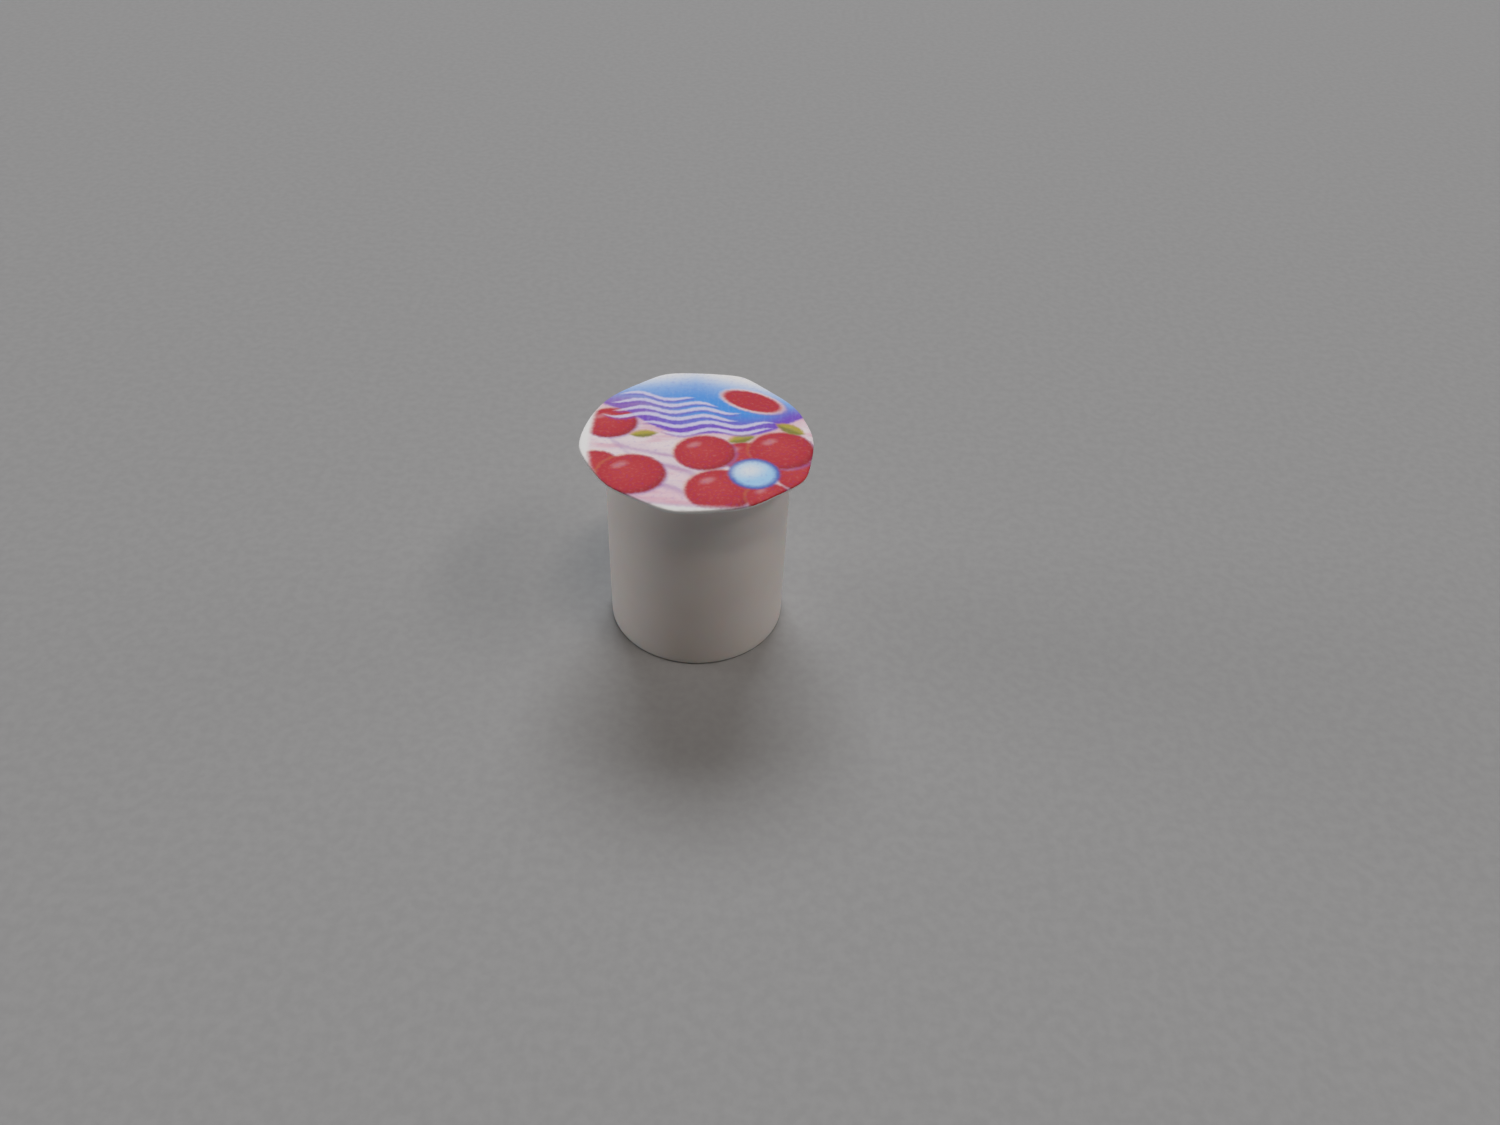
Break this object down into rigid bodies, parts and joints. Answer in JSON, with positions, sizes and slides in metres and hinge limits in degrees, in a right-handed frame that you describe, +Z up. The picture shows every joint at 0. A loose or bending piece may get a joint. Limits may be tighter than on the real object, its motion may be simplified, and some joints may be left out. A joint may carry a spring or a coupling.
{
  "type": "dollhouse yogurt pot",
  "caption": "Small straight-sided toy yogurt pot of white plastic, solid, with a wider hand-cut printed paper disc glued on top as its lid.",
  "frame": {"origin": "middle of the pot's flat foot, on the surface that it stands on", "axes": "+Z up through the lid; -Y towards the front as pictured; +X to the right"},
  "size_m": [0.0079, 0.0078, 0.0078],
  "materials": {
    "pot_plastic": "smooth off-white plastic, satin",
    "lid_paper": "printed paper, satin, white cut edge"
  },
  "bodies": {
    "root": {"pot": "pot_plastic", "lid": "lid_paper"}
  },
  "joints": []
}
